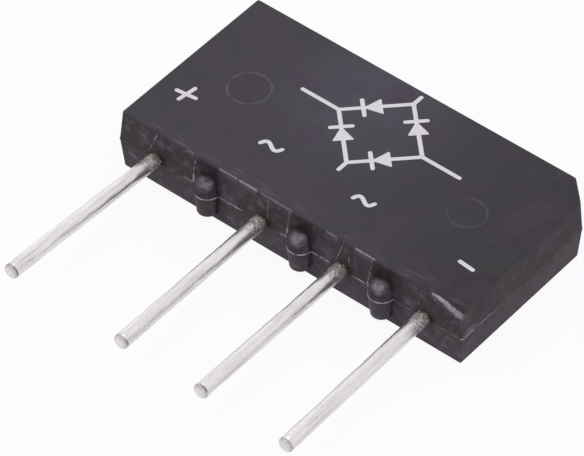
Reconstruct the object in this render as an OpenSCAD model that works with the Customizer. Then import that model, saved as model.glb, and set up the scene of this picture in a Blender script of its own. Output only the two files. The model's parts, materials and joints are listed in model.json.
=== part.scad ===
// Single in-line bridge rectifier, flat moulded case, four round wire leads.
// It lies on its back: X runs along the row of leads from plus to minus,
// the leads leave towards -Y, and +Z is the marked face.
// The origin is the centre of the back face.

/* [Case] */
// Length of the case along the row of leads, at the parting plane
case_length = 32; // [30:0.5:36]
// Height of the case from foot wall to top wall, at the parting plane
case_height = 16; // [15.5:0.1:17]
// Thickness of the case from back to face
case_thickness = 5.5; // [5.2:0.1:6.5]
// How far each wall leans in from the parting plane to the face and to the back
draft_inset = 0.22; // [0.1:0.02:0.3]
// Leg of the cut corner that marks the minus end
corner_cut = 1.9; // [1:0.1:2.5]

/* [Stand-off pillars] */
// Reach of each half-round pillar below the foot wall, at the parting plane
pillar_reach = 1; // [0.6:0.05:1.2]
// Height of a pillar across the thickness of the case
pillar_height = 3.7; // [2.4:0.1:4.4]
// How much a pillar's radius shrinks from the parting plane to each end
pillar_draft = 0.19; // [0.05:0.01:0.3]

/* [Ejector pin marks] */
// Diameter of the round marks on the face
mark_diameter = 3.1; // [1.5:0.1:4]
// Depth of the marks
mark_depth = 0.06; // [0.02:0.01:0.15]
// Distance of each mark from the middle of the face
mark_offset = 10; // [8:0.5:11]

/* [Leads] */
// Diameter of the round leads
lead_diameter = 1.2; // [0.9:0.05:1.3]
// Length of the leads outside the case
lead_length = 15.6; // [6:0.1:25]
// Spacing from the plus lead to the first alternating-current lead
pitch_plus = 10; // [10:0.1:10.5]
// Spacing between the two alternating-current leads, and from there to minus
pitch_other = 7.5; // [7.3:0.1:7.6]
// Thickness of the coined tongue at the inner end of each lead
tongue_thickness = 0.45; // [0.35:0.05:0.5]
// Width of the coined tongue
tongue_width = 2.2; // [1.4:0.1:2.4]

/* [Inside] */
// Thickness of the copper plates that carry the dice
plate_thickness = 0.6; // [0.4:0.05:0.8]
// Thickness of the copper clips over the dice
clip_thickness = 0.5; // [0.3:0.05:0.6]
// Edge of the square silicon dice
die_size = 3; // [2.4:0.1:3.1]
// Thickness of a die
die_thickness = 0.28; // [0.2:0.02:0.36]
// Thickness of each solder layer
solder_thickness = 0.08; // [0.06:0.01:0.1]

/* [Hidden] */

$fn = 64;
eps = 0.01;

// Leads, in order: plus, left and right alternating current, minus
PLUS = 0;
AC_LEFT = 1;
AC_RIGHT = 2;
MINUS = 3;
lead_r = lead_diameter / 2;
row_width = pitch_plus + 2 * pitch_other;
lead_x = [
    -row_width / 2,
    -row_width / 2 + pitch_plus,
    row_width / 2 - pitch_other,
    row_width / 2
];
// How far each free end leans sideways (X) and up or down (Z)
lead_lean = [[-0.4, 0.3], [0, 0], [-0.15, -0.05], [0.05, -0.2]];
// Inside the case the wire is swaged down to its tongue
swaged_root = 1.3;
swaged_r = 0.25;
tip_cut = 0.2;

// Case
foot_y = -case_height / 2;
parting_z = case_thickness / 2;
pillar_x = [for (i = [0:2]) (lead_x[i] + lead_x[i + 1]) / 2];
pillar_foot_z = (case_thickness - pillar_height) / 2 - 0.15;

// Levels of the inner stack, from the plates up to the clips
wire_clearance = 0.05;
die_floor_z = parting_z - lead_r + wire_clearance;
plate_top_z = die_floor_z - solder_thickness;
die_top_z = die_floor_z + die_thickness;
clip_z = die_top_z + solder_thickness;

// Rows of the inner plan, as Y values
die_row_plus = 3.7;
die_row_minus = -2.1;
plus_bar_y = [1.5, 5.9];
tongue_neck_y = foot_y + 0.5;
tongue_y = [foot_y + 1.6, foot_y + 3.8];
joint_y = [tongue_y[0] + 0.3, tongue_y[1] - 0.2];
ac_plate_y = [joint_y[0] - 0.1, 0.9];
minus_bar_y = [-3.5, -0.7];
clip_foot_y = [-0.3, 0.8];
clip_rise = 0.5;
ac_plate_width = 4.4;
leg_width = 3.4;
clip_width = 2.4;
bar_overhang = 2.2;
mesa_step = 0.2;
moat_height = 0.55;
die_contact = die_size - 2 * mesa_step - 0.2;

epoxy = "#37343b";
tin = "#c9c7c4";
copper = "#b87349";
silicon = "#59606b";
solder = "#a9a9ab";

// ---------------------------------------------------------------- helpers

// Box between two corners given as ranges
module slab(x, y, z) {
    translate([x[0], y[0], z[0]])
        cube([x[1] - x[0], y[1] - y[0], z[1] - z[0]]);
}

// Outline of a two-way drafted wall pair, half_width wide at the parting plane
module drafted_outline(half_width) {
    polygon([
        [half_width, parting_z],
        [half_width - draft_inset, case_thickness],
        [-half_width + draft_inset, case_thickness],
        [-half_width, parting_z],
        [-half_width + draft_inset, 0],
        [half_width - draft_inset, 0]
    ]);
}

// The drafted outline as a long bar along Y
module drafted_bar(half_width, length) {
    translate([0, length / 2, 0])
        rotate([90, 0, 0])
            linear_extrude(length)
                drafted_outline(half_width);
}

// ------------------------------------------------------------------- case

// Plain block with all four walls and the cut corner drafted
module case_block() {
    diagonal = case_length + case_height;
    corner_reach = (case_length / 2 + case_height / 2 - corner_cut) / sqrt(2);
    intersection() {
        drafted_bar(case_length / 2, diagonal);
        rotate([0, 0, 90])
            drafted_bar(case_height / 2, diagonal);
        rotate([0, 0, 45])
            translate([corner_reach - diagonal, 0, 0])
                drafted_bar(diagonal, 2 * diagonal);
    }
}

// One stand-off: a full spindle, widest at the parting plane, half of it sunk in the wall
module pillar(x) {
    end_r = pillar_reach - pillar_draft;
    translate([x, foot_y, pillar_foot_z])
        rotate_extrude()
            polygon([
                [0, 0],
                [end_r, 0],
                [pillar_reach, parting_z - pillar_foot_z],
                [end_r, pillar_height],
                [0, pillar_height]
            ]);
}

module ejector_mark(x) {
    translate([x, 0, case_thickness - mark_depth])
        cylinder(h = mark_depth + eps, d = mark_diameter);
}

// Everything that the moulding compound flows round
module encapsulated() {
    for (i = [PLUS:MINUS])
        lead(i);
    plus_plate();
    ac_plate(AC_LEFT);
    ac_plate(AC_RIGHT);
    minus_clip();
    ac_clip(AC_LEFT);
    ac_clip(AC_RIGHT);
    for (side = [AC_LEFT, AC_RIGHT])
        for (y = [die_row_plus, die_row_minus]) {
            die(side, y);
            solder_under(side, y);
            solder_over(side, y);
        }
    for (i = [PLUS:MINUS])
        solder_lead(i);
    solder_clip(AC_LEFT);
    solder_clip(AC_RIGHT);
}

module body() {
    color(epoxy)
        difference() {
            union() {
                case_block();
                for (x = pillar_x)
                    pillar(x);
            }
            for (side = [-1, 1])
                ejector_mark(side * mark_offset);
            encapsulated();
        }
}

// ------------------------------------------------------------------ leads

// Level of the underside of a lead's tongue
function tongue_z(i) =
    i == MINUS ? clip_z - solder_thickness - tongue_thickness : die_floor_z;

// Coined inner end: flat tongue, widening from the wire to its full width
module tongue(i) {
    translate([lead_x[i], 0, tongue_z(i)])
        linear_extrude(tongue_thickness)
            polygon([
                [-lead_r, tongue_neck_y],
                [lead_r, tongue_neck_y],
                [tongue_width / 2, tongue_y[0]],
                [tongue_width / 2, tongue_y[1]],
                [-tongue_width / 2, tongue_y[1]],
                [-tongue_width / 2, tongue_y[0]]
            ]);
}

// Round wire, blunted at its free end and swaged down inside the case to a flat tongue
module lead(i) {
    lean = [-atan(lead_lean[i][1] / lead_length), 0, atan(lead_lean[i][0] / lead_length)];
    color(tin) {
        translate([lead_x[i], foot_y, parting_z])
            rotate(lean)
                rotate([90, 0, 0])
                    rotate_extrude()
                        polygon([
                            [0, -swaged_root],
                            [swaged_r, -swaged_root],
                            [lead_r, 0],
                            [lead_r, lead_length - tip_cut],
                            [lead_r - tip_cut, lead_length],
                            [0, lead_length]
                        ]);
        tongue(i);
    }
}

// ------------------------------------------------------ plates and clips

// Carries both dice whose cathodes feed the plus lead
module plus_plate() {
    x = lead_x[PLUS];
    end_x = lead_x[AC_RIGHT] + bar_overhang;
    z = [plate_top_z - plate_thickness, plate_top_z];
    color(copper) {
        slab([x - leg_width / 2, x + leg_width / 2], [ac_plate_y[0], plus_bar_y[1]], z);
        slab([x - leg_width / 2, end_x], plus_bar_y, z);
    }
}

// Carries one die, a lead tongue and the foot of a clip
module ac_plate(i) {
    x = lead_x[i];
    color(copper)
        slab([x - ac_plate_width / 2, x + ac_plate_width / 2], ac_plate_y,
             [plate_top_z - plate_thickness, plate_top_z]);
}

// Joins the anodes of both minus dice to the minus lead
module minus_clip() {
    x = lead_x[MINUS];
    z = [clip_z, clip_z + clip_thickness];
    color(copper) {
        slab([lead_x[AC_LEFT] - 1.5, x + leg_width / 2 - 0.4], minus_bar_y, z);
        slab([x - clip_width / 2, x + leg_width / 2 - 0.4], [joint_y[0], minus_bar_y[1]], z);
    }
}

// Stepped clip from the anode of a plus die down to its plate
module ac_clip(i) {
    low = die_floor_z;
    high = clip_z;
    color(copper)
        translate([lead_x[i] - clip_width / 2, 0, 0])
            rotate([90, 0, 90])
                linear_extrude(clip_width)
                    polygon([
                        [clip_foot_y[0], low],
                        [clip_foot_y[1], low],
                        [clip_foot_y[1] + clip_rise, high],
                        [die_row_plus + die_contact / 2, high],
                        [die_row_plus + die_contact / 2, high + clip_thickness],
                        [clip_foot_y[1] + clip_rise / 2, high + clip_thickness],
                        [clip_foot_y[1] - clip_rise / 2, low + clip_thickness],
                        [clip_foot_y[0], low + clip_thickness]
                    ]);
}

// -------------------------------------------------------- dice and solder

// Square centred on a lead's X and a given Y
module chip(i, y, size, z) {
    slab([lead_x[i] - size / 2, lead_x[i] + size / 2], [y - size / 2, y + size / 2], z);
}

// Mesa die: full size below, stepped in above the passivated moat
module die(i, y) {
    moat_z = die_floor_z + moat_height * die_thickness;
    color(silicon) {
        chip(i, y, die_size, [die_floor_z, moat_z]);
        chip(i, y, die_size - 2 * mesa_step, [moat_z, die_top_z]);
    }
}

module solder_under(i, y) {
    color(solder)
        chip(i, y, die_size, [plate_top_z, die_floor_z]);
}

module solder_over(i, y) {
    color(solder)
        chip(i, y, die_contact, [die_top_z, clip_z]);
}

// Joint between a lead's tongue and its plate, or its clip for the minus lead
module solder_lead(i) {
    z = i == MINUS ? [clip_z - solder_thickness, clip_z] : [plate_top_z, die_floor_z];
    half = tongue_width / 2 - 0.1;
    color(solder)
        slab([lead_x[i] - half, lead_x[i] + half], joint_y, z);
}

module solder_clip(i) {
    half = clip_width / 2;
    color(solder)
        slab([lead_x[i] - half, lead_x[i] + half], clip_foot_y, [plate_top_z, die_floor_z]);
}

// ------------------------------------------------------------------- draw

body();
lead(PLUS);  // lead_plus
lead(AC_LEFT);  // lead_ac_left
lead(AC_RIGHT);  // lead_ac_right
lead(MINUS);  // lead_minus
plus_plate();
ac_plate(AC_LEFT);  // ac_left_plate
ac_plate(AC_RIGHT);  // ac_right_plate
minus_clip();
ac_clip(AC_LEFT);  // ac_left_clip
ac_clip(AC_RIGHT);  // ac_right_clip
die(AC_LEFT, die_row_plus);  // die_plus_left
die(AC_RIGHT, die_row_plus);  // die_plus_right
die(AC_LEFT, die_row_minus);  // die_minus_left
die(AC_RIGHT, die_row_minus);  // die_minus_right
solder_under(AC_LEFT, die_row_plus);  // solder_under_plus_left
solder_under(AC_RIGHT, die_row_plus);  // solder_under_plus_right
solder_under(AC_LEFT, die_row_minus);  // solder_under_minus_left
solder_under(AC_RIGHT, die_row_minus);  // solder_under_minus_right
solder_over(AC_LEFT, die_row_plus);  // solder_over_plus_left
solder_over(AC_RIGHT, die_row_plus);  // solder_over_plus_right
solder_over(AC_LEFT, die_row_minus);  // solder_over_minus_left
solder_over(AC_RIGHT, die_row_minus);  // solder_over_minus_right
solder_lead(PLUS);  // solder_lead_plus
solder_lead(AC_LEFT);  // solder_lead_ac_left
solder_lead(AC_RIGHT);  // solder_lead_ac_right
solder_lead(MINUS);  // solder_lead_minus
solder_clip(AC_LEFT);  // solder_clip_left
solder_clip(AC_RIGHT);  // solder_clip_right
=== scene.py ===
"""Looks of a single in-line bridge rectifier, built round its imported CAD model.

The part lies on its back: X runs along the row of leads from plus to minus, the leads leave towards -Y
and +Z is the marked face. All sizes are in metres. MM turns millimetres into them.
"""

import json
import math

import bmesh
import bpy
from bpy.props import FloatProperty, FloatVectorProperty, PointerProperty
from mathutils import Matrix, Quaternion, Vector


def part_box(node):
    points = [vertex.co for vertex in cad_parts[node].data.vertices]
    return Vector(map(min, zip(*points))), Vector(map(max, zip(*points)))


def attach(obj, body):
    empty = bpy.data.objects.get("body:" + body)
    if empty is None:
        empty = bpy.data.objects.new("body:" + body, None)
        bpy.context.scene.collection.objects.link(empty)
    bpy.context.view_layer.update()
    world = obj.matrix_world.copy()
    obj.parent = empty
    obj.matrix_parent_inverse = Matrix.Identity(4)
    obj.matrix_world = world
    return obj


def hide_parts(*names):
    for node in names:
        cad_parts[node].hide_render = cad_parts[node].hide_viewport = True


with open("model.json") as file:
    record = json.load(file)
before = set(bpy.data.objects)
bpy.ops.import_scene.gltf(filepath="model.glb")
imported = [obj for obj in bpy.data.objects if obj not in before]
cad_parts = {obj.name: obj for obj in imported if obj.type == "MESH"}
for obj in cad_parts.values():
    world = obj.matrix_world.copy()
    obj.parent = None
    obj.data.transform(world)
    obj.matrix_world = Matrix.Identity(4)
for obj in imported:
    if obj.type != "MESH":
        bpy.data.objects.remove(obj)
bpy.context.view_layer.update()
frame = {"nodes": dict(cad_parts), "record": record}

bl_info = {
    "name": "Bridge rectifier looks",
    "version": (1, 0, 0),
    "blender": (4, 5, 0),
    "location": "3D View > Sidebar > Rectifier",
    "description": "Models the moulded case, tinned leads and printed marks of a bridge rectifier",
    "category": "Add Mesh",
}

MM = 0.001
MICRON = 0.000001
# Side of the face that each ejector mark is on, and how large a share of the full mark it is
EJECTOR_MARKS = ((-1, 1), (1, 0.6))
# Length of each half of the shallow neck behind a lead's cut end
NECK = 0.06 * MM
# The point that the camera looks at
AIM = Vector((-1.52, -5.58, 0.8)) * MM
LEADS = ("lead_plus", "lead_ac_left", "lead_ac_right", "lead_minus")
PINS = [name.replace("lead", "pin") for name in LEADS]
case_low, case_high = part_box("body")
parting_z = (case_low.z + case_high.z) / 2
# Node patterns work in millimetres, and so do the height of the face and half the length of the case
FACE = case_high.z / MM
END = case_high.x / MM
mounts = {mount["name"]: mount for mount in frame["record"]["mounts"]}


def linear(hex_colour):
    """Opaque scene colour of an sRGB hex value such as "#37343b"."""
    parts = [int(hex_colour[i:i + 2], 16) / 255 for i in (1, 3, 5)]
    return [*(p / 12.92 if p <= 0.04045 else ((p + 0.055) / 1.055) ** 2.4 for p in parts), 1]


# ---------------- settings


def in_mm(name, millimetres, description):
    """A length in a settings group, given in millimetres."""
    return FloatProperty(name=name, description=description, default=millimetres * MM, unit="LENGTH")


def in_degrees(name, degrees, description):
    """An angle in a settings group, given in degrees."""
    return FloatProperty(
        name=name, description=description, default=math.radians(degrees), subtype="ANGLE")


def in_hex(name, hex_colour, description):
    """A colour in a settings group, given as an sRGB hex value."""
    return FloatVectorProperty(
        name=name, description=description, default=linear(hex_colour), subtype="COLOR", size=4, min=0, max=1)


class CaseSettings(bpy.types.PropertyGroup):
    """Sizes and colours of the moulded case."""

    pillar_reach: in_mm("Pillar reach", 1.0, "How far a pillar stands out of the foot wall")
    draft: in_mm("Draft", 0.22, "How far each wall leans in from the parting line to its edge")
    corner_cut: in_mm("Cut corner", 1.9, "Leg of the cut corner at the minus end")
    corner_round: in_mm("Corner round", 0.13, "Width of the rounding along the upright corners")
    edge_round: in_mm("Edge round", 0.07, "Width of the rounding along the face and the back")
    flash: in_mm("Flash", 0.022, "How far the bead of flash stands out of the parting line")
    pillar_foot: in_mm("Pillar foot", 0.75, "Height of a pillar's lower end above the back")
    pillar_height: in_mm("Pillar height", 3.45, "Length of a pillar across the thickness")
    pillar_draft: in_mm("Pillar draft", 0.19, "How much a pillar's radius shrinks to each end")
    mark_diameter: in_mm("Ejector mark", 3.3, "Diameter of the round ejector marks on the face")
    mark_depth: in_mm("Mark depth", 0.05, "Depth of the ejector marks")
    mark_offset: in_mm("Mark offset", 10.15, "Distance of each mark from the middle of the face")
    colour: in_hex("Compound", "#3d3840", "Colour of the epoxy moulding compound")
    # The pale colour serves both for wear and for painted highlights
    wear_and_highlight_colour: in_hex("Worn compound", "#aaa3ad", "Colour where the compound is scuffed or rubbed")


class LeadSettings(bpy.types.PropertyGroup):
    """Sizes and colours of the tinned leads."""

    diameter: in_mm("Diameter", 1.2, "Diameter of the round wire")
    length: in_mm("Length", 15.6, "Length of the lead outside the case")
    tip_round: in_mm("Tip round", 0.3, "Rounding of the cut end")
    unevenness: in_mm("Unevenness", 0.02, "How much the dipped tin thickens and thins")
    colour: in_hex("Tin", "#e5e1e4", "Colour of the dipped tin")
    residue_colour: in_hex("Residue", "#93857d", "Colour of the flux where a lead leaves the case")


class PrintSettings(bpy.types.PropertyGroup):
    """Sizes and colour of the printed marks."""

    stroke: in_mm("Stroke", 0.34, "Width of a printed line")
    film: in_mm("Film", 0.014, "Thickness of the ink")
    symbol_reach: in_mm("Symbol reach", 3.9, "Half the width of the bridge symbol's diamond")
    colour: in_hex("Ink", "#dcd8df", "Colour of the pad-printed ink")


class StageSettings(bpy.types.PropertyGroup):
    """Camera and light."""

    azimuth: in_degrees("Azimuth", 39.68, "Direction of the camera round the part")
    elevation: in_degrees("Elevation", 45.73, "Height of the camera above the horizon")
    roll: in_degrees("Roll", -0.26, "Turn of the camera about its own axis")
    distance: in_mm("Distance", 335, "Distance of the camera from the part")
    lens: FloatProperty(
        name="Lens", description="Focal length in millimetres on a 36 mm wide sensor", default=283.9)
    lamp_power: FloatProperty(
        name="Lamp power", description="Power of the main lamp in watts", default=0.4)


# ---------------- modelling aids


def disc(name, radius, location, corners=64):
    """Starts a piece as a level disc."""
    bpy.ops.mesh.primitive_circle_add(vertices=corners, radius=radius, fill_type="NGON", location=location)
    return begin(name)


def begin(name):
    """Names the primitive that was just added, brings its origin home and opens it in edit mode."""
    piece = bpy.context.object
    piece.name = name
    piece.data.name = name
    bpy.ops.object.transform_apply(location=True, rotation=True, scale=True)
    bpy.ops.object.mode_set(mode="EDIT")
    return piece


def pick(kind, test):
    """Selects the VERT, EDGE or FACE elements of the mesh in edit mode for which test is true."""
    bpy.context.tool_settings.mesh_select_mode = [kind == k for k in ("VERT", "EDGE", "FACE")]
    bpy.ops.mesh.select_all(action="DESELECT")
    edited = bmesh.from_edit_mesh(bpy.context.object.data)
    edited.normal_update()
    items = {"VERT": edited.verts, "EDGE": edited.edges, "FACE": edited.faces}[kind]
    for item in items:
        if test(item):
            item.select_set(True)
    edited.select_flush_mode()
    bmesh.update_edit_mesh(bpy.context.object.data)


def near(a, b, reach=2 * MICRON):
    """True if two sizes are the same, give or take rounding."""
    return abs(a - b) < reach


def at_height(z):
    """Test for an edge or a face that lies level at height z."""
    return lambda item: all(near(v.co.z, z) for v in item.verts)


def only(*pieces):
    """Leaves edit mode, selects just these pieces and makes the first one active."""
    if bpy.context.object and bpy.context.object.mode == "EDIT":
        bpy.ops.object.mode_set(mode="OBJECT")
    bpy.ops.object.select_all(action="DESELECT")
    for piece in pieces:
        piece.select_set(True)
    bpy.context.view_layer.objects.active = pieces[0]


def apply_modifier(piece, kind, **settings):
    """Adds a modifier with its settings and applies it."""
    only(piece)
    modifier = piece.modifiers.new(kind.title(), kind)
    for name, value in settings.items():
        setattr(modifier, name, value)
    bpy.ops.object.modifier_apply(modifier=modifier.name)


def combine(piece, tool, operation):
    """Joins a solid to a piece or cuts it out of it, and removes the solid."""
    apply_modifier(piece, "BOOLEAN", operation=operation, object=tool, solver="EXACT")
    bpy.data.objects.remove(tool)


def fuse(pieces, name):
    """Fuses overlapping solids into the first one."""
    first, *others = pieces
    for other in others:
        combine(first, other, "UNION")
    first.name = name
    first.data.name = name
    return first


def place(piece, turn, spot):
    """Turns a piece about the origin, moves it to its spot and leaves both in its mesh."""
    only(piece)
    piece.rotation_euler = turn
    piece.location = spot
    bpy.ops.object.transform_apply(location=True, rotation=True, scale=True)


def hand_over(piece, material, replaced=None, smooth=35):
    """Shades a finished piece, gives it its material and ties it to the frame."""
    only(piece)
    bpy.ops.object.shade_smooth_by_angle(angle=math.radians(smooth))
    apply_modifier(piece, "WEIGHTED_NORMAL", keep_sharp=True)
    piece.data.materials.clear()
    piece.data.materials.append(material)
    if replaced:
        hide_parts(replaced)
    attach(piece, "root")


def extrude(*way):
    """Extrudes the selection of the mesh in edit mode along a vector."""
    bpy.ops.mesh.extrude_region_move(TRANSFORM_OT_translate={"value": way})


def face_outwards():
    """Selects the whole mesh in edit mode and turns its normals outwards."""
    bpy.ops.mesh.select_all(action="SELECT")
    bpy.ops.mesh.normals_make_consistent(inside=False)


def grow_both_ways(top, bottom, draft, flash):
    """Turns the outline at the parting line into two drafted halves that meet in a bead of flash."""
    # Half the thickness of the flash
    lip = 0.035 * MM
    bpy.ops.mesh.select_all(action="SELECT")
    bpy.ops.transform.translate(value=(0, 0, -lip))
    extrude(0, 0, lip)
    extrude(0, 0, lip)
    face_outwards()
    pick("VERT", lambda v: near(v.co.z, parting_z))
    bpy.ops.transform.shrink_fatten(value=flash, use_even_offset=True)
    pick("FACE", lambda f: f.normal.z > 0.9)
    bpy.ops.mesh.inset(thickness=draft, depth=top - parting_z - lip)
    pick("FACE", lambda f: f.normal.z < -0.9)
    bpy.ops.mesh.inset(thickness=draft, depth=parting_z - bottom - lip)


# ---------------- the case


def case_block(sizes):
    """Moulded block: drafted both ways, one corner cut, edges rounded and one corner rubbed."""
    foot = foot_wall()
    middle = Vector(((case_low.x + case_high.x) / 2, (foot + case_high.y) / 2, parting_z))
    bpy.ops.mesh.primitive_plane_add(size=1, location=middle)
    piece = begin("case")
    bpy.ops.transform.resize(
        value=(case_high.x - case_low.x, case_high.y - foot, 1), center_override=middle)
    pick("VERT", lambda v: v.co.x > 0 and v.co.y > 0)
    bpy.ops.mesh.bevel(offset=sizes.corner_cut, affect="VERTICES")
    # Short stretches along the long and the short sides let the bead of flash vary
    bpy.ops.mesh.select_all(action="SELECT")
    bpy.ops.mesh.delete(type="ONLY_FACE")
    for shortest, cuts in ((20 * MM, 39), (8 * MM, 19)):
        pick("EDGE", lambda e: e.calc_length() > shortest)
        bpy.ops.mesh.subdivide(number_cuts=cuts)
    bpy.ops.mesh.select_all(action="SELECT")
    bpy.ops.mesh.edge_face_add()
    grow_both_ways(case_high.z, case_low.z, sizes.draft, sizes.flash)
    pick("VERT", lambda v: near(v.co.z, parting_z))
    bpy.ops.transform.vertex_random(offset=0.6 * sizes.flash, normal=1, seed=4)
    # The upright corners
    pick("EDGE", lambda e: (
        abs(e.verts[0].co.z - e.verts[1].co.z) > 5 * MICRON and e.calc_face_angle() > 0.5))
    bpy.ops.mesh.bevel(offset=sizes.corner_round, segments=4)
    rub_corner(foot + sizes.draft)
    for level in (case_high.z, case_low.z):
        pick("EDGE", at_height(level))
        bpy.ops.mesh.bevel(offset=sizes.edge_round, segments=3)
    only(piece)
    return piece


def rub_corner(foot_edge):
    """Rubs away the corner where the face, the foot wall and the minus end meet, in two thin facets."""
    start = Vector((case_high.x - 2.7 * MM, foot_edge, case_high.z))
    for inward, fall in ((0.2, 1.3), (0.52, 0.55)):
        down = Vector((case_high.x - 0.1 * MM, foot_edge - 0.09 * MM, case_high.z - fall * MM))
        back = Vector((case_high.x - inward * MM, foot_edge + 0.32 * MM, case_high.z))
        outward = (back - start).cross(down - start).normalized()
        if outward.y > 0:
            outward.negate()
        bpy.ops.mesh.select_all(action="SELECT")
        bpy.ops.mesh.bisect(plane_co=start, plane_no=outward, clear_outer=True, use_fill=True)


def pillar(sizes, x):
    """Barrel-shaped stand-off with rounded ends, half of it sunk in the foot wall."""
    piece = disc("pillar", sizes.pillar_reach, (x, foot_wall(), parting_z))
    head = sizes.pillar_foot + sizes.pillar_height
    grow_both_ways(head, sizes.pillar_foot, sizes.pillar_draft, sizes.flash)
    for end, rounding in ((head, 0.22 * MM), (sizes.pillar_foot, 0.12 * MM)):
        pick("EDGE", at_height(end))
        bpy.ops.mesh.bevel(offset=rounding, segments=4)
    only(piece)
    return piece


def foot_wall():
    """Y of the foot wall at the parting line."""
    return case_low.y + bpy.context.scene.rectifier_case.pillar_reach


def wall_at(z):
    """Y of the leaning foot wall at height z."""
    draft = bpy.context.scene.rectifier_case.draft
    return foot_wall() + draft * abs(z - parting_z) / (case_high.z - parting_z)


def mark_radius(share):
    """Radius of an ejector mark. The mark with the smaller share is smaller and shallower."""
    return bpy.context.scene.rectifier_case.mark_diameter / 2 * (0.7 + 0.3 * share)


def ejector_cutter(sizes, x, share):
    """Shallow disc with gently sloping sides, to cut one ejector mark."""
    slope = 0.16 * MM
    radius, depth = mark_radius(share), sizes.mark_depth * share
    piece = disc("ejector_cutter", radius - slope, (x, 0, case_high.z - depth))
    extrude(0, 0, 2 * depth)
    grown = (radius + slope) / (radius - slope)
    bpy.ops.transform.resize(value=(grown, grown, 1), center_override=(x, 0, case_high.z))
    face_outwards()
    only(piece)
    return piece


def pillar_places():
    """X of each pillar: halfway between neighbouring leads."""
    exits = [exit_point(pin).x for pin in PINS]
    return [(a + b) / 2 for a, b in zip(exits, exits[1:])]


def exit_point(pin):
    """Where the axis of a lead crosses the foot wall."""
    spot = Vector(mounts[pin]["pos_m"])
    axis = Vector(mounts[pin]["axis"])
    return spot + axis * (foot_wall() - spot.y) / axis.y


class RECTIFIER_OT_case(bpy.types.Operator):
    """Model the moulded case with its pillars, flash and ejector marks"""

    bl_idname = "rectifier.case"
    bl_label = "Moulded case"

    def execute(self, context):
        sizes = context.scene.rectifier_case
        piece = case_block(sizes)
        for x in pillar_places():
            combine(piece, pillar(sizes, x), "UNION")
        for side, share in EJECTOR_MARKS:
            combine(piece, ejector_cutter(sizes, side * sizes.mark_offset, share), "DIFFERENCE")
        hand_over(piece, moulding_compound(), "body")
        return {"FINISHED"}


def wall_line(width, proud, start, end):
    """Raised line on the leaning foot wall between two (X, Z) points."""
    lean = math.atan2(bpy.context.scene.rectifier_case.draft, case_high.z - parting_z)
    start, end = Vector(start) * MM, Vector(end) * MM
    run = end - start
    piece = stroke(width, proud, run.length)
    upper = (start.y + end.y) / 2 > parting_z
    stand = math.pi / 2 - lean if upper else math.pi / 2 + lean
    turn = Quaternion((1, 0, 0), stand) @ Quaternion((0, 0, 1), math.atan2(run.y, run.x))
    place(piece, turn.to_euler(), (start.x, wall_at(start.y) + proud, start.y))
    return piece


class RECTIFIER_OT_mould_lines(bpy.types.Operator):
    """Model the raised lines that the joints of the mould leave on the foot wall, and pale lines beside the
    pillars as painted highlights of their edges
    """

    bl_idname = "rectifier.mould_lines"
    bl_label = "Mould lines"

    def execute(self, context):
        lines = [
            # Slanted beside the first, third and fourth lead
            ((-12.32, 5.4), (-13.15, 3.1)), ((5.1, 5.4), (4.52, 3.3)), ((12.25, 5.2), (11.98, 3.6)),
            # Upright beside the last three leads
            ((-1.9, 5.35), (-1.82, 3.2)), ((5.62, 5.3), (5.66, 3.1)), ((13.42, 5.4), (13.4, 4.95)),
            # Short nicks: one drops from the face, one runs beside the first lead
            ((-2.87, 5.42), (-2.85, 4.9)), ((-15.15, 1.8), (-14.4, 1.72)), ((14.2, 5.3), (14.18, 4.8)),
        ]
        pieces = [wall_line(0.06 * MM, 0.02 * MM, *line) for line in lines]
        # The insert that forms each pillar leaves a thin line above its plus side; the raised lines below it,
        # along the pillar, are a painted highlight of the pillar's edge
        for x, lean, width in zip(pillar_places(), (-0.12, 0, 0.1), (0.1, 0.08, 0.05)):
            x /= MM
            bend = (x - 1.2 + lean / 2, 4.1)
            pieces += [
                wall_line(width * MM, 0.03 * MM, (x - 1.12 + lean, 5.4), bend),
                wall_line(0.18 * MM, 0.05 * MM, bend, (x - 1.3, 2.85)),
                wall_line(0.08 * MM, 0.04 * MM, (x - 1.28, 2.65), (x - 1.22, 0.3))]
        piece = fuse(pieces, "mould_lines")
        only(piece)
        bpy.ops.object.mode_set(mode="EDIT")
        bpy.ops.mesh.select_all(action="SELECT")
        bpy.ops.transform.vertex_random(offset=0.03 * MM, seed=2)
        # Pale where the lines are whitened, and as a painted highlight beside each pillar
        material = moulding_compound("rubbed moulding compound", bare=0.85)
        hand_over(piece, material)
        return {"FINISHED"}


# ---------------- the leads


def wire(sizes):
    """One lead along +Z from the foot wall at Z 0: drawn wire with a rounded tip and a coined tongue."""
    piece = disc("lead", sizes.diameter / 2, (0, 0, 0), corners=32)
    steps = 60
    shank = sizes.length - sizes.tip_round - 2 * NECK
    for _ in range(steps):
        extrude(0, 0, shank / steps)
    # The shear leaves a shallow neck behind the end, which is rounded like half a flat ball
    rings = [(0.9, NECK), (1 / 0.9, NECK)]
    turns = [math.radians(12 * step) for step in range(8)]
    for low, high in zip(turns, turns[1:]):
        rings.append((math.cos(high) / math.cos(low), sizes.tip_round * (math.sin(high) - math.sin(low))))
    for width, rise in rings:
        extrude(0, 0, rise)
        bpy.ops.transform.resize(value=(width, width, 1))
    pick("FACE", lambda f: near(f.calc_center_median().z, 0) and len(f.verts) > 4)
    for depth, width, thickness, sag in (
        (0.5 * MM, 0.95, 0.75, 0),
        (0.6 * MM, 1.3, 0.5, 0.2 * MM),
        (0.5 * MM, 1.45, 0.85, 0.125 * MM),
        (2.2 * MM, 1, 1, 0),
    ):
        extrude(0, -sag, -depth)
        bpy.ops.transform.resize(value=(width, thickness, 1))
    face_outwards()
    only(piece)
    return piece


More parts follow.
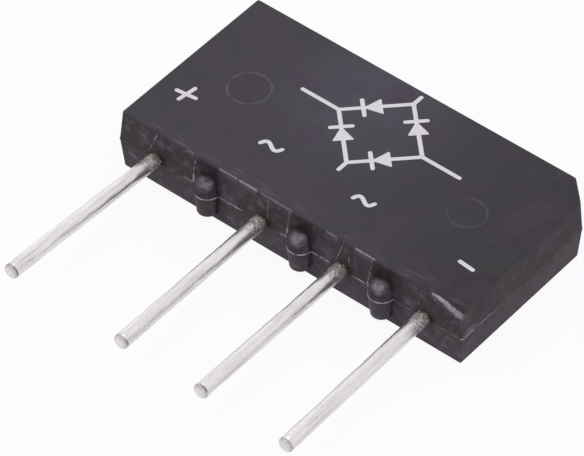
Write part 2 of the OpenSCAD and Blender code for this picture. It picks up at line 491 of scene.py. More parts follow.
def tin_coat(piece, sizes, seed):
    """Makes the dipped tin slightly thick and thin along the wire, and lumpy with flux at the root."""
    only(piece)
    bpy.ops.object.mode_set(mode="EDIT")
    pick("VERT", lambda v: 0.3 * MM < v.co.z < sizes.length - 2 * sizes.tip_round)
    bpy.ops.transform.vertex_random(offset=2.5 * sizes.unevenness, normal=1, seed=seed)
    bpy.ops.mesh.vertices_smooth(factor=0.5, repeat=4, zaxis=False)
    pick("VERT", lambda v: -0.1 * MM < v.co.z < 0.9 * MM)
    bpy.ops.transform.vertex_random(offset=0.05 * MM, normal=1, seed=seed + 10)
    only(piece)


class RECTIFIER_OT_leads(bpy.types.Operator):
    """Model the four tinned leads"""

    bl_idname = "rectifier.leads"
    bl_label = "Leads"

    def execute(self, context):
        sizes = context.scene.rectifier_leads
        first = wire(sizes)
        material = dipped_tin()
        for number, (name, pin) in enumerate(zip(LEADS, PINS)):
            only(first)
            bpy.ops.object.duplicate()
            lead = bpy.context.object
            lead.name = "tinned_" + name
            lead.data.name = lead.name
            tin_coat(lead, sizes, number + 1)
            axis = Vector(mounts[pin]["axis"])
            place(lead, axis.to_track_quat("Z", "Y").to_euler(), exit_point(pin))
            hand_over(lead, material, name, smooth=60)
        bpy.data.objects.remove(first)
        return {"FINISHED"}


# ---------------- the print


def wave_guide(run, swing):
    """Curve along +X that swings to the left and back to the right, as a printed wave does."""
    bpy.ops.curve.primitive_bezier_curve_add(location=(0, 0, 0))
    guide = bpy.context.object
    first, last = guide.data.splines[0].bezier_points
    for point in (first, last):
        point.handle_left_type = point.handle_right_type = "FREE"
    first.co, last.co = (0, 0, 0), (run, 0, 0)
    first.handle_right, last.handle_left = (0.42 * run, swing, 0), (0.58 * run, -swing, 0)
    first.handle_left, last.handle_right = (-0.42 * run, -swing, 0), (1.42 * run, swing, 0)
    return guide


def stroke(width, film, run, swing=0):
    """Raised line along +X from the origin, with round ends and a domed top."""
    half = width / 2
    guide = wave_guide(run, swing) if swing else None
    length = guide.data.splines[0].calc_length() if swing else run
    bpy.ops.mesh.primitive_circle_add(vertices=22, radius=half, fill_type="NOTHING", location=(0, 0, 0))
    piece = begin("stroke")
    pick("VERT", lambda v: v.co.x > 0)
    bpy.ops.transform.translate(value=(length, 0, 0))
    pick("EDGE", lambda e: e.calc_length() > 0.6 * length)
    bpy.ops.mesh.subdivide(number_cuts=24)
    bpy.ops.mesh.select_all(action="SELECT")
    bpy.ops.mesh.edge_face_add()
    raise_film(0.3 * half, film)
    if guide:
        apply_modifier(piece, "CURVE", object=guide, deform_axis="POS_X")
        bpy.data.objects.remove(guide)
    return piece


def face_line(sizes, start, end, swing=0):
    """Printed line on the face from start to end."""
    run = Vector(end) - Vector(start)
    piece = stroke(sizes.stroke, sizes.film, run.length, swing)
    place(piece, (0, 0, math.atan2(run.y, run.x)), (start[0], start[1], case_high.z - sizes.film))
    return piece


def raise_film(shoulder, film):
    """Turns the flat outline in edit mode into a film of ink with a rounded shoulder."""
    bpy.ops.mesh.select_all(action="SELECT")
    extrude(0, 0, 1.6 * film)
    bpy.ops.mesh.inset(thickness=shoulder, depth=0.4 * film)
    face_outwards()


def arrowhead(sizes, x, y, turn):
    """Filled triangle of a diode symbol, pointing along turn, with its bar at the tip."""
    reach = 0.95 * MM
    piece = disc("arrowhead", reach, (0, 0, 0), corners=3)
    pick("VERT", lambda v: True)
    bpy.ops.mesh.bevel(offset=0.12 * MM, affect="VERTICES", segments=2)
    raise_film(0.05 * MM, sizes.film)
    # A new triangle points along +Y
    place(piece, (0, 0, turn - math.pi / 2), (x, y, case_high.z - sizes.film))
    along = Vector((math.cos(turn), math.sin(turn)))
    across = Vector((-along.y, along.x)) * reach * 0.85
    tip = Vector((x, y)) + along * reach
    return [piece, face_line(sizes, tip - across, tip + across)]


def bridge_symbol(sizes, x, y):
    """Four diodes in a diamond, all pointing to the plus side, with a stub at each corner."""
    reach = sizes.symbol_reach
    centre = Vector((x, y))
    plus, top, minus, bottom = (
        centre + Vector(corner) * reach for corner in ((-1, 0), (0, 1), (1, 0), (0, -1)))
    parts = []
    for start, end in ((minus, top), (minus, bottom), (top, plus), (bottom, plus)):
        parts.append(face_line(sizes, start, end))
        along = end - start
        turn = math.atan2(along.y, along.x)
        middle = (start + end) / 2
        parts += arrowhead(sizes, middle.x, middle.y, turn)
    for corner, way in ((plus, (-3.4, 0)), (minus, (3.4, 0)), (top, (0, 0.9)), (bottom, (0, -0.9))):
        parts.append(face_line(sizes, corner, corner + Vector(way) * MM))
    return fuse(parts, "bridge_symbol")


class RECTIFIER_OT_print(bpy.types.Operator):
    """Print the polarity marks and the bridge symbol on the face"""

    bl_idname = "rectifier.print"
    bl_label = "Printed marks"

    def execute(self, context):
        sizes = context.scene.rectifier_print
        ink = pad_print_ink()

        def line(start, end, swing=0):
            return face_line(sizes, Vector(start) * MM, Vector(end) * MM, swing * MM)

        pieces = [
            fuse([line((-14.14, -3.54), (-12.5, -3.34)), line((-13.2, -2.58), (-13.42, -4.16))], "plus_mark"),
            fuse([line((-5.87, -3.88), (-4.2, -3.44), swing=1.15)], "tilde_left"),
            fuse([line((2.88, -3.98), (4.46, -3.52), swing=1.15)], "tilde_right"),
            fuse([line((12.72, -4.12), (13.92, -4.22))], "minus_mark"),
            bridge_symbol(sizes, 0.25 * MM, 2.4 * MM),
        ]
        for piece in pieces:
            hand_over(piece, ink)
        return {"FINISHED"}


# ---------------- the materials


# Inputs go by number. MapRange: 1 and 2 are the stretch it reads, and 3 and 4 are what that becomes, 0 and
# 1 if nothing is said. Mix: 0 is the share of the second colour, 6 and 7 the colours. Mapping: 1 is the
# shift, 2 the turn and 3 the scale.


def add(material, kind, inputs=(), operation=None, **settings):
    """Adds one node. An input is a value, an output, or a node, which stands for its first live output."""
    made = material.node_tree.nodes.new("ShaderNode" + kind)
    if kind == "Mix":
        made.data_type = "RGBA"
    if operation:
        made.operation = operation
    for name, value in settings.items():
        setattr(made, name, value)
    for name, value in dict(inputs).items():
        if isinstance(value, bpy.types.Node):
            value = next(output for output in value.outputs if output.enabled)
        if isinstance(value, bpy.types.NodeSocket):
            material.node_tree.links.new(value, made.inputs[name])
        else:
            made.inputs[name].default_value = value
    return made


def blank(name):
    """New node material with only its output."""
    material = bpy.data.materials.new(name)
    material.use_nodes = True
    material.node_tree.nodes.clear()
    return material


def patches(m, where, size, detail, *stretch):
    """Soft patches as a strength. Stretch is the MapRange's: levels of the noise, and what they become."""
    noise = add(m, "TexNoise", {"Vector": where, "Scale": 1 / size, "Detail": detail})
    return add(m, "MapRange", {0: noise, **dict(enumerate(stretch, 1))})


def blot(m, spot, centre, outer, inner, strength, fall="LINEAR"):
    """Strength of a round spot, full within inner and gone at outer millimetres from its centre."""
    away = add(m, "VectorMath", {0: spot, 1: centre}, "DISTANCE")
    return add(m, "MapRange", {0: away, 1: outer, 2: inner, 4: strength}, interpolation_type=fall)


def band(m, value, centre, outer, inner, strength):
    """Strength of a band, full within inner and gone at outer millimetres from its middle."""
    away = add(m, "Math", {0: value, 1: centre}, "SUBTRACT")
    away = add(m, "Math", {0: away}, "ABSOLUTE")
    return add(m, "MapRange", {0: away, 1: outer, 2: inner, 4: strength})


def finish(m, inputs):
    """Gives the material its shader and returns it."""
    add(m, "OutputMaterial", {"Surface": add(m, "BsdfPrincipled", inputs)})
    return m


def in_millimetres(m):
    """The place on the piece in millimetres, whole and split into X, Y and Z."""
    spot = add(m, "TexCoord").outputs["Object"]
    spot = add(m, "VectorMath", {0: spot, "Scale": 1 / MM}, "SCALE").outputs["Vector"]
    split = add(m, "SeparateXYZ", {0: spot})
    return spot, split.outputs["X"], split.outputs["Y"], split.outputs["Z"]


def moulding_compound(name="epoxy moulding compound", bare=0.0):
    """Silica-filled epoxy, pressed in a worn mould: near black, semi-matt, scuffed pale along its edges, with
    painted highlights on its edges and ejector rims and painted shade round the pillars and leads.
    """
    m = blank(name)
    spot, x, y, z = in_millimetres(m)
    # The wall starts just under the face's edge, which sinks where the minus corner is worn round
    below = add(m, "Math", {0: sunk_edge(m, x), 1: z}, "SUBTRACT")
    on_wall = add(m, "MapRange", {0: below, 1: 0.02, 2: 0.14})
    cloud = add(m, "TexNoise", {"Vector": spot, "Scale": 1 / 4, "Detail": 4})
    # smooth is the strength of the painted shade round the pillars
    smooth = painted_shade_round_pillars(m, x, y, z)

    # Painted shade above and beside the pillars, which also keeps most of the pale marks off them; pale wear
    # and painted highlights everywhere else
    pale = patches(m, spot, 0.45, 4, 0.4, 0.6, 0.15 * bare, bare)
    for wear in (
        scuffs(m, spot, y, on_wall), worn_and_highlit_foot_edge(m, spot, x, y, below, on_wall),
        trimmed_flash(m, spot, x, y, z), pale_pillar_tops(m, spot), ejector_rim_highlights(m, spot),
    ):
        pale = add(m, "Math", {0: pale, 1: wear}, "MAXIMUM")
    spared = add(m, "Math", {0: smooth, 1: -0.7, 2: 1}, "MULTIPLY_ADD")
    pale = add(m, "Math", {0: pale, 1: spared}, "MULTIPLY")
    skin = clean_compound(m, spot, x, z, on_wall, cloud)
    # Near-black painted shade and shadow round the pillars
    skin = add(m, "Mix", {0: smooth, 6: skin, 7: linear("#120d12")})
    skin = add(m, "Mix", {0: pale, 6: skin, 7: bpy.context.scene.rectifier_case.wear_and_highlight_colour})
    skin = bleed_and_lead_shade(m, spot, skin)

    # Fine grain of the mould, drawn coarser than its real few microns so that it shows
    swell = add(m, "TexNoise", {"Vector": spot, "Scale": 1 / 1.4, "Detail": 2})
    grain = add(m, "TexNoise", {"Vector": spot, "Scale": 1 / 0.14, "Detail": 3})
    height = add(m, "Math", {0: swell, 1: 1.5, 2: grain}, "MULTIPLY_ADD")
    bump = add(m, "Bump", {"Height": height, "Strength": 0.35, "Distance": 0.012 * MM})
    dull = add(m, "MapRange", {0: cloud, 1: 0.3, 2: 0.7, 3: 0.6, 4: 0.68})
    dull = add(m, "Math", {0: pale, 1: 0.2, 2: dull}, "MULTIPLY_ADD")
    return finish(m, {"Base Color": skin, "Roughness": dull, "IOR": 1.35, "Normal": bump})


def clean_compound(m, spot, x, z, on_wall, cloud):
    """Colour of the compound where nothing has worn it."""
    # Resin bloom makes the middle of the face bluer and paler
    bloom = blot(m, spot, (-2, 4.5, FACE), 9, 3, 0.8, "SMOOTHSTEP")
    # The minus end is darker, and brown at its worn corner
    along = add(m, "MapRange", {0: x, 1: 0, 2: 14, 4: 0.9})
    handled = blot(m, spot, (END, -7, FACE), 6, 1, 0.8, "SMOOTHSTEP")
    # Towards the back the walls are a little paler and more violet: painted light from the white floor below
    low = add(m, "MapRange", {0: z, 1: 2.3, 2: 1.2, 4: 0.9})
    # Cloudy patches some millimetres wide go from greenish grey to violet
    green = add(m, "MapRange", {0: cloud, 1: 0.48, 2: 0.36, 4: 0.35})
    violet = add(m, "MapRange", {0: cloud, 1: 0.5, 2: 0.64, 4: 0.6})
    skin = bpy.context.scene.rectifier_case.colour
    for strength, tint in (
        (bloom, "#484551"), (along, "#302b33"), (handled, "#33272f"), (on_wall, "#342830"),
        (low, "#3f343f"), (green, "#333535"), (violet, "#403746"),
    ):
        skin = add(m, "Mix", {0: strength, 6: skin, 7: linear(tint)})
    return skin


def bleed_and_lead_shade(m, spot, skin):
    """Brown and olive bleed on the foot wall round each lead, and near-black painted shade close beside its
    minus side.
    """
    mottle = patches(m, spot, 0.8, 3, 0.42, 0.58)
    stain = add(m, "Mix", {0: mottle, 6: linear("#302d22"), 7: linear("#3a2322")})
    wide = round_leads(m, spot, (0.2, 0, 0.1), 1.4, 0.7, 0.75)
    skin = add(m, "Mix", {0: wide, 6: skin, 7: stain})
    # Painted shade close beside each lead, where it leaves the wall
    close = round_leads(m, spot, (0.65, 0, 0.2), 0.6, 0.25, 0.8)
    return add(m, "Mix", {0: close, 6: skin, 7: linear("#140d09")})


def sunk_edge(m, x):
    """Height of the face's foot edge, which sinks where the minus corner is worn round."""
    sunk = add(m, "MapRange", {0: x, 1: 13.4, 2: 15.9, 4: 0.55}, interpolation_type="SMOOTHSTEP")
    return add(m, "Math", {0: FACE, 1: sunk}, "SUBTRACT")


def scuffs(m, spot, y, on_wall):
    """Hair scratches all over, streaks along the foot edge of the face, and handling smears on the walls."""
    slant = add(m, "Mapping", {0: spot, 2: (0, 0, 0.6), 3: (1 / 0.15, 1 / 1.5, 1 / 0.4)})
    scratch = patches(m, slant, 1, 2, 0.64, 0.8, 0, 0.05)
    # Streaks a third of a millimetre wide and over one long, within two millimetres of the foot edge
    level = add(m, "Mapping", {0: spot, 3: (1 / 1.6, 1 / 0.3, 1 / 0.6)})
    streak = patches(m, level, 1, 5, 0.5, 0.75, 0, 0.1)
    beside = add(m, "MapRange", {0: y, 1: -5.8, 2: -7.2})
    beside = add(m, "Math", {0: beside, 1: on_wall}, "SUBTRACT", use_clamp=True)
    streak = add(m, "Math", {0: streak, 1: beside}, "MULTIPLY")
    smear = patches(m, spot, 0.7, 5, 0.5, 0.8, 0, 0.2)
    # Half as strong away from the leads
    spread = add(m, "MapRange", {0: y, 1: -7.4, 2: -6.6, 3: 1, 4: 0.45})
    for factor in (on_wall, spread):
        smear = add(m, "Math", {0: smear, 1: factor}, "MULTIPLY")
    # Upright rub marks, a third of a millimetre wide
    upright = add(m, "Mapping", {0: spot, 3: (1 / 0.3, 1, 1 / 1.2)})
    rub = patches(m, upright, 1, 4, 0.6, 0.75, 0, 0.1)
    rub = add(m, "Math", {0: rub, 1: on_wall}, "MULTIPLY")
    for mark in (streak, smear, rub):
        scratch = add(m, "Math", {0: scratch, 1: mark}, "MAXIMUM")
    return scratch


def strength_along(m, x, runs):
    """Strength of a pale mark along X, from the start, end and strength of each run in millimetres."""
    fade = 0.12
    half = round(END)
    along = add(m, "MapRange", {0: x, 1: -half, 2: half})
    levels = add(m, "ValToRGB", {0: along})
    stops = levels.color_ramp.elements
    stops[0].color = stops[-1].color = (0, 0, 0, 1)
    for start, end, strength in runs:
        for at, level in ((start - fade, 0), (start + fade, strength), (end - fade, strength), (end, 0)):
            stop = stops.new((at + half) / (2 * half))
            stop.color = (level, level, level, 1)
    return levels


def worn_and_highlit_foot_edge(m, spot, x, y, below, on_wall):
    """Pale stretches along the face's foot edge, part rubbed wear and part painted highlight on the rounded
    edge, widest at the minus corner, with a haze below them.
    """
    inward = add(m, "Math", {0: y, 1: wall_at(case_high.z) / MM}, "SUBTRACT")
    inward = add(m, "Math", {0: inward, 1: 0}, "MAXIMUM")
    off_edge = add(m, "Math", {0: below}, "ABSOLUTE")
    off_edge = add(m, "Math", {0: inward, 1: 3, 2: off_edge}, "MULTIPLY_ADD")
    reach = add(m, "MapRange", {0: x, 1: 13, 2: 15.4, 3: 0.16, 4: 0.38})
    off_strip = add(m, "Math", {0: off_edge, 1: reach}, "DIVIDE")
    # The lower side is ragged, in drips a quarter of a millimetre wide
    drips = add(m, "Mapping", {0: spot, 3: (1 / 0.25, 1 / 0.25, 1 / 0.8)})
    ragged = add(m, "TexNoise", {"Vector": drips, "Scale": 1, "Detail": 5, "Roughness": 0.6})
    ragged = add(m, "MapRange", {0: ragged, 1: 0.3, 2: 0.7, 3: -0.35, 4: 0.35})
    off_strip = add(m, "Math", {0: off_strip, 1: ragged}, "ADD")
    strip = add(m, "MapRange", {0: off_strip, 1: 1.5, 2: 0.4})
    rubbed = strength_along(m, x, (
        (-9.5, -8.9, 0.3), (-6.5, -4.7, 0.5), (-4.65, -2.9, 0.75), (-2.6, 0.4, 0.32), (3.5, 4.5, 0.32),
        (6.1, 8.0, 0.65), (13.1, 15.95, 1)))
    strip = add(m, "Math", {0: strip, 1: rubbed}, "MULTIPLY")
    haze = add(m, "MapRange", {0: below, 1: 0.75, 2: 0.1, 4: 0.22})
    at_foot = add(m, "MapRange", {0: inward, 1: 0.4, 2: 0.2})
    for factor in (rubbed, on_wall, at_foot):
        haze = add(m, "Math", {0: haze, 1: factor}, "MULTIPLY")
    strip = add(m, "Math", {0: strip, 1: haze}, "MAXIMUM")
    # The pale band, part wear and part painted highlight, runs on down the upright corner, and there is a
    # smear beside it on the minus end
    for centre, squash, reach, strength in (
        ((15.85, -7.93, 4.6), (1, 1, 0.22), 0.3, 0.2), ((16, -7, 3.05), (0.6, 0.45, 1.2), 0.5, 0.3),
    ):
        away = add(m, "VectorMath", {0: spot, 1: centre}, "SUBTRACT")
        away = add(m, "VectorMath", {0: away, 1: squash}, "MULTIPLY")
        away = add(m, "VectorMath", {0: away}, "LENGTH").outputs["Value"]
        smear = add(m, "MapRange", {0: away, 1: reach, 2: 0, 4: strength})
        strip = add(m, "Math", {0: strip, 1: smear}, "MAXIMUM")
    return strip


def trimmed_flash(m, spot, x, y, z):
    """Flash along the parting line, whitened where it was trimmed."""
    trimmed = strength_along(m, x, (
        (-9.7, -8.5, 0.6), (-8.1, -4.2, 1.0), (-0.6, 0.2, 0.6), (0.5, 4.0, 1.0),
        (6.0, 9.9, 1.0), (10.3, 11.6, 0.3), (13.0, 15.8, 0.28)))
    # The back wall's is fainter
    at_foot = add(m, "MapRange", {0: y, 1: -7, 2: -6, 3: 1, 4: 0.35})
    trimmed = add(m, "Math", {0: trimmed, 1: at_foot}, "MULTIPLY")
    # On the minus end it is brightest near the foot
    at_end = add(m, "Math", {0: x, 1: END - 0.15}, "GREATER_THAN")
    along_end = add(m, "MapRange", {0: y, 1: -7.6, 2: -2, 3: 0.8, 4: 0.15})
    at_end = add(m, "Math", {0: at_end, 1: along_end}, "MULTIPLY")
    for least in (at_end, 0.1):
        trimmed = add(m, "Math", {0: trimmed, 1: least}, "MAXIMUM")
    line = add(m, "Math", {0: z, 1: FACE / 2, 2: 0.06}, "COMPARE")
    broken = patches(m, spot, 0.45, 4, 0.38, 0.56, 0.25, 1.05)
    for factor in (trimmed, broken):
        line = add(m, "Math", {0: line, 1: factor}, "MULTIPLY")
    return line


def ejector_rim_highlights(m, spot):
    """Faint painted highlight on the sloping rim of each ejector mark."""
    offset = bpy.context.scene.rectifier_case.mark_offset
    worn = 0
    for side, share in EJECTOR_MARKS:
        centre = Vector((side * offset, 0, case_high.z)) / MM
        away = add(m, "VectorMath", {0: spot, 1: centre}, "DISTANCE")
        rim = band(m, away, mark_radius(share) / MM, 0.16, 0, 0.16 * share)
        worn = add(m, "Math", {0: worn, 1: rim}, "MAXIMUM")
    patchy = patches(m, spot, 1.2, 3, 0.4, 0.6, 0.15, 1)
    return add(m, "Math", {0: worn, 1: patchy}, "MULTIPLY")


def painted_shade_round_pillars(m, x, y, z):
    """Painted shade on the wall above each pillar and painted shadow on the wall beside its minus side."""
    above = add(m, "MapRange", {0: z, 1: 3.9, 2: 4.3})
    pillar_shade = 0
    for pillar_x in pillar_places():
        aside = add(m, "Math", {0: x, 1: pillar_x / MM}, "SUBTRACT")
        beside = add(m, "MapRange", {0: aside, 1: 0.9, 2: 2.3, 3: 0.55, 4: 0})
        right = add(m, "Math", {0: aside, 1: 0.7}, "GREATER_THAN")
        beside = add(m, "Math", {0: beside, 1: right}, "MULTIPLY")
        over = band(m, x, pillar_x / MM, 1.1, 0.85, 0.85)
        over = add(m, "Math", {0: over, 1: above}, "MULTIPLY")
        for dark in (over, beside):
            pillar_shade = add(m, "Math", {0: dark, 1: pillar_shade}, "MAXIMUM")
    # Only on the foot wall itself, and not on the pillars or along the face's edge
    behind = add(m, "Math", {0: y, 1: wall_at(case_high.z) / MM, 2: 0.34}, "COMPARE")
    under = add(m, "MapRange", {0: z, 1: FACE - 0.1, 2: FACE - 0.3})
    for factor in (behind, under):
        pillar_shade = add(m, "Math", {0: pillar_shade, 1: factor}, "MULTIPLY")
    return pillar_shade


def pale_pillar_tops(m, spot):
    """Pale spot on the upper end of each pillar."""
    blotch = patches(m, spot, 0.45, 3, 0.35, 0.6, 0.3, 1)
    worn = 0
    for pillar_x in pillar_places():
        top = Vector((pillar_x / MM + 0.25, wall_at(case_high.z) / MM - 0.9, FACE - 1.4))
        worn = add(m, "Math", {0: blot(m, spot, top, 0.85, 0.3, 0.5), 1: worn}, "MAXIMUM")
    return add(m, "Math", {0: worn, 1: blotch}, "MULTIPLY")


def round_leads(m, spot, shift, outer, inner, strength):
    """Strength of a round stain or patch of painted shade beside each lead, full within inner and gone at
    outer millimetres.
    """
    stain = 0
    for pin in PINS:
        centre = exit_point(pin) / MM + Vector(shift)
        stain = add(m, "Math", {0: blot(m, spot, centre, outer, inner, strength), 1: stain}, "MAXIMUM")
    return stain


def dipped_tin():
    """Hot-dipped tin on copper wire: pale and soft-bright, in streaks, greyed with flux and painted shade at
    its root, with painted shade round its rounded end.
    """
    sizes = bpy.context.scene.rectifier_leads
    m = blank("dipped tin")
    spot, _, y, _ = in_millimetres(m)
    # How far out of the case
    out = add(m, "Math", {0: foot_wall() / MM, 1: y}, "SUBTRACT")

    # Streaks along the wire, a fifth of a millimetre wide and some millimetres long
    drawn = add(m, "Mapping", {0: spot, 3: (1 / 0.2, 1 / 3.5, 1 / 0.2)})
    streak = add(m, "TexNoise", {"Vector": drawn, "Scale": 1, "Detail": 4, "Roughness": 0.6})
    grain = add(m, "TexNoise", {"Vector": spot, "Scale": 1 / 0.16, "Detail": 3})
    patchy = add(m, "Math", {0: grain, 1: 0.4, 2: streak}, "MULTIPLY_ADD")
    duller = add(m, "MapRange", {0: patchy, 1: 0.62, 2: 0.92, 4: 0.45})
    # A few soft draw lines, a fifth of a millimetre wide and about a centimetre long
    lined = add(m, "Mapping", {0: spot, 1: (0.3, 0, 0.2), 3: (1 / 0.2, 1 / 9, 1 / 0.2)})
    line = patches(m, lined, 1, 2, 0.6, 0.72, 0, 0.45)
    tip, crease, tip_rim_shade = cut_end(m, spot, out)
    tin = sizes.colour
    # The crease and rim tints are painted shade on the lead's rounded end
    for strength, tint in ((duller, "#b0acaf"), (line, "#7d7a80"), (crease, "#5f5b57"), (tip_rim_shade, "#a19b96")):
        tin = add(m, "Mix", {0: strength, 6: tin, 7: linear(tint)})

    # Flux and resin over the first millimetre or so, lumpy, with bright tin showing between
    ragged = patches(m, spot, 0.28, 3, 0.3, 0.7, -0.8, 0.8)
    ragged = add(m, "Math", {0: out, 1: ragged}, "ADD")
    resin = add(m, "MapRange", {0: ragged, 1: 1.4, 2: 0}, interpolation_type="SMOOTHSTEP")
    lump = add(m, "TexNoise", {"Vector": spot, "Scale": 1 / 0.22, "Detail": 2})
    fleck = add(m, "MapRange", {0: lump, 1: 0.62, 2: 0.5, 3: 0.2, 4: 1})
    resin = add(m, "Math", {0: resin, 1: fleck}, "MULTIPLY")
    brown = add(m, "MapRange", {0: grain, 1: 0.4, 2: 0.6, 4: 0.6})
    # Painted shade on the flux closest to the wall
    shade = add(m, "MapRange", {0: out, 1: 0.45, 2: 0.1, 4: 0.8})
    flux = sizes.residue_colour
    for strength, tint in ((brown, "#63524a"), (shade, "#40342b")):
        flux = add(m, "Mix", {0: strength, 6: flux, 7: linear(tint)})
    colour = add(m, "Mix", {0: resin, 6: tin, 7: flux})
    metal = add(m, "Math", {0: 1, 1: resin}, "SUBTRACT")
    rough = add(m, "MapRange", {0: streak, 1: 0.3, 2: 0.7, 3: 0.26, 4: 0.44})
    rough = add(m, "Math", {0: resin, 1: 0.2, 2: rough}, "MULTIPLY_ADD")
    rough = add(m, "Math", {0: tip, 1: -0.12, 2: rough}, "MULTIPLY_ADD")

    # The lumps stand higher where the flux is
    height = add(m, "Math", {0: streak, 1: 2, 2: grain}, "MULTIPLY_ADD")
    lumpy = add(m, "Math", {0: lump, 1: resin}, "MULTIPLY")
    height = add(m, "Math", {0: lumpy, 1: 6, 2: height}, "MULTIPLY_ADD")
    bump = add(m, "Bump", {"Height": height, "Strength": 0.5, "Distance": 0.02 * MM})
    return finish(m, {"Base Color": colour, "Metallic": metal, "Roughness": rough, "Normal": bump})


def cut_end(m, spot, out):
    """Where the lead's end is, painted shade in the crease behind it, and painted shade on the rim of the
    rounded end, fading out towards its top.
    """
    sizes = bpy.context.scene.rectifier_leads
    neck = (sizes.length - sizes.tip_round - NECK) / MM
    tip = add(m, "Math", {0: out, 1: neck}, "GREATER_THAN")
    patchy_crease = patches(m, spot, 0.6, 3, 0.42, 0.6, 0, 0.8)
    crease = add(m, "Math", {0: band(m, out, neck, 0.12, 0.02, 1), 1: patchy_crease}, "MULTIPLY")
    rim = add(m, "MapRange", {0: out, 1: neck + 0.1, 2: sizes.length / MM - 0.05, 3: 0.85, 4: 0})
    return tip, crease, add(m, "Math", {0: tip, 1: rim}, "MULTIPLY")


def pad_print_ink():
    """White two-part ink from a pad: flat, matt and faintly speckled where the compound shows through."""
    m = blank("pad print ink")
    spot = in_millimetres(m)[0]
    speck = add(m, "TexNoise", {"Vector": spot, "Scale": 1 / 0.12, "Detail": 3})
    thin = add(m, "MapRange", {0: speck, 1: 0.56, 2: 0.74, 4: 0.55})
    ink = bpy.context.scene.rectifier_print.colour
    colour = add(m, "Mix", {0: thin, 6: ink, 7: linear("#8c8791")})
    bump = add(m, "Bump", {"Height": speck, "Strength": 0.3, "Distance": 0.01 * MM})
    return finish(m, {"Base Color": colour, "Roughness": 0.55, "Normal": bump})


def rolled_copper():
    """Stamped copper strip: warm, rolled in fine lines, a little browned by the solder oven."""
    m = blank("rolled copper")
    spot = in_millimetres(m)[0]
    rolled = add(m, "Mapping", {0: spot, 3: (1 / 0.06, 1 / 2.5, 1 / 0.06)})
    line = add(m, "TexNoise", {"Vector": rolled, "Scale": 1, "Detail": 3})
    brown = patches(m, spot, 1.5, 4, 0.4, 0.7, 0, 0.6)
    colour = add(m, "Mix", {0: brown, 6: linear("#d88a66"), 7: linear("#8a4f35")})
    rough = add(m, "MapRange", {0: line, 1: 0.3, 2: 0.7, 3: 0.25, 4: 0.45})
    bump = add(m, "Bump", {"Height": line, "Strength": 0.3, "Distance": 0.01 * MM})
    return finish(m, {"Base Color": colour, "Metallic": 1, "Roughness": rough, "Normal": bump})


def reflowed_solder():
    """Reflowed lead-tin solder: grey, soft-bright and finely frosted."""
    m = blank("reflowed solder")
    spot = in_millimetres(m)[0]
    frost = add(m, "TexNoise", {"Vector": spot, "Scale": 1 / 0.2, "Detail": 4})
    colour = add(m, "Mix", {0: frost, 6: linear("#c4c4c2"), 7: linear("#9a9a98")})
    rough = add(m, "MapRange", {0: frost, 1: 0.3, 2: 0.7, 3: 0.3, 4: 0.55})
    bump = add(m, "Bump", {"Height": frost, "Strength": 0.4, "Distance": 0.01 * MM})
    return finish(m, {"Base Color": colour, "Metallic": 1, "Roughness": rough, "Normal": bump})


def sawn_silicon():
    """Diffused silicon with a glassed edge: blue-grey, hard and smooth, with faint etch clouds."""
    m = blank("silicon die")
    spot = in_millimetres(m)[0]
    etch = add(m, "TexNoise", {"Vector": spot, "Scale": 1 / 0.7, "Detail": 3})
    colour = add(m, "Mix", {0: etch, 6: linear("#4d5563"), 7: linear("#6b7280")})
    rough = add(m, "MapRange", {0: etch, 1: 0.3, 2: 0.7, 3: 0.12, 4: 0.25})
    return finish(m, {"Base Color": colour, "Metallic": 0.7, "Roughness": rough})


class RECTIFIER_OT_inner_stack(bpy.types.Operator):
    """Finish the copper, silicon and solder parts that the frame already holds"""

    bl_idname = "rectifier.inner_stack"
    bl_label = "Inner stack"

    def execute(self, context):
        finishes = {"die": sawn_silicon(), "solder": reflowed_solder()}
        copper = rolled_copper()
        for name, node in frame["nodes"].items():
            if name == "body" or name in LEADS:
                continue
            material = finishes.get(name.split("_")[0], copper)
            for slot in node.material_slots:
                slot.material = material
        return {"FINISHED"}


# ---------------- the stage


def seen_directly(m):
    """1 for rays that come from the camera or by way of a mirror or glass, and 0 for the light itself."""
    path = add(m, "LightPath")
    seen = path.outputs["Is Camera Ray"]
    for ray in ("Is Glossy Ray", "Is Transmission Ray"):
        seen = add(m, "Math", {0: seen, 1: path.outputs[ray]}, "MAXIMUM").outputs[0]
    return seen


def floor():
    """Pale table top, large enough to fill every view."""
    # Just below the back of the case, so that the two don't share a plane
    bpy.ops.mesh.primitive_plane_add(size=1.2, location=(0, 0, -0.01 * MM))
    top = begin("floor")
    only(top)
    m = blank("white table")
    seen = add(m, "Math", {0: seen_directly(m), 1: 0.92}, "MULTIPLY")
    paint = add(m, "BsdfDiffuse", {"Color": [0.8, 0.8, 0.8, 1]})
    glow = add(m, "Emission", {"Color": [1, 1, 1, 1], "Strength": 1})
    mixed = add(m, "MixShader", {0: seen, 1: paint, 2: glow})
    add(m, "OutputMaterial", {"Surface": mixed})
    top.data.materials.append(m)


def lamp(name, spot, size, power):
    """Soft square lamp that faces the part."""
    bpy.ops.object.light_add(type="AREA", location=spot)
    made = bpy.context.object
    made.name = name
    made.data.shape = "SQUARE"
    made.data.size = size
    made.data.energy = power
    made.rotation_euler = (-Vector(spot)).to_track_quat("-Z", "Y").to_euler()


def sky():
    """Even white surroundings."""
    world = bpy.data.worlds.new("white room")
    bpy.context.scene.world = world
    world.use_nodes = True
    world.node_tree.nodes.clear()
    room = add(world, "Background", {"Color": [1, 1, 1, 1], "Strength": 0.85})
    backdrop = add(world, "Background", {"Color": [1, 1, 1, 1], "Strength": 1})
    mixed = add(world, "MixShader", {0: seen_directly(world), 1: room, 2: backdrop})
    add(world, "OutputWorld", {"Surface": mixed})


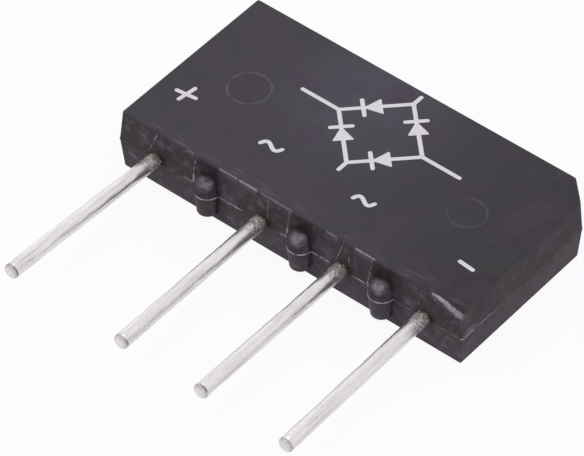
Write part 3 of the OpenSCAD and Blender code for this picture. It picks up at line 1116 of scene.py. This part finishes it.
def camera(sizes):
    """Long lens above and to the right of the leads, held almost level."""
    bpy.ops.object.camera_add()
    made = bpy.context.object
    made.name = "camera"
    made.data.lens = sizes.lens
    made.data.sensor_width = 36
    level = math.cos(sizes.elevation)
    back = Vector((
        math.sin(sizes.azimuth) * level, -math.cos(sizes.azimuth) * level, math.sin(sizes.elevation)))
    made.location = AIM + back * sizes.distance
    aim = (-back).to_track_quat("-Z", "Y") @ Quaternion((0, 0, 1), sizes.roll)
    made.rotation_euler = aim.to_euler()
    bpy.context.scene.camera = made


class RECTIFIER_OT_stage(bpy.types.Operator):
    """Set up the table, the lamps and the camera"""

    bl_idname = "rectifier.stage"
    bl_label = "Stage"

    def execute(self, context):
        sizes = context.scene.rectifier_stage
        context.scene.view_settings.view_transform = "Standard"
        floor()
        sky()
        lamp("main_lamp", spot=(-0.2, -0.1, 0.6), size=0.4, power=sizes.lamp_power)
        # A low weak one brightens the plus side of each lead
        lamp("low_lamp", spot=(-0.5, 0.36, 0.2), size=0.3, power=0.25 * sizes.lamp_power)
        camera(sizes)
        return {"FINISHED"}


# ---------------- the panel


OPERATORS = (
    RECTIFIER_OT_case, RECTIFIER_OT_mould_lines, RECTIFIER_OT_leads,
    RECTIFIER_OT_print, RECTIFIER_OT_inner_stack, RECTIFIER_OT_stage)
SETTINGS = {
    "rectifier_case": CaseSettings,
    "rectifier_leads": LeadSettings,
    "rectifier_print": PrintSettings,
    "rectifier_stage": StageSettings,
}


class RECTIFIER_PT_panel(bpy.types.Panel):
    """Lists the pieces in the order in which they are made"""

    bl_idname = "RECTIFIER_PT_panel"
    bl_label = "Bridge rectifier"
    bl_space_type = "VIEW_3D"
    bl_region_type = "UI"
    bl_category = "Rectifier"

    def draw(self, context):
        for operator in OPERATORS:
            self.layout.operator(operator.bl_idname)
        for group in SETTINGS:
            box = self.layout.box()
            settings = getattr(context.scene, group)
            for name in settings.__annotations__:
                box.prop(settings, name)


def register():
    for kind in (*SETTINGS.values(), *OPERATORS, RECTIFIER_PT_panel):
        bpy.utils.register_class(kind)
    for name, group in SETTINGS.items():
        setattr(bpy.types.Scene, name, PointerProperty(type=group))


def unregister():
    for name in SETTINGS:
        delattr(bpy.types.Scene, name)
    for kind in (RECTIFIER_PT_panel, *reversed(OPERATORS), *reversed(list(SETTINGS.values()))):
        bpy.utils.unregister_class(kind)


def main():
    register()
    bpy.ops.rectifier.case()
    bpy.ops.rectifier.mould_lines()
    bpy.ops.rectifier.leads()
    bpy.ops.rectifier.print()
    bpy.ops.rectifier.inner_stack()
    bpy.ops.rectifier.stage()


if __name__ == "__main__":
    main()
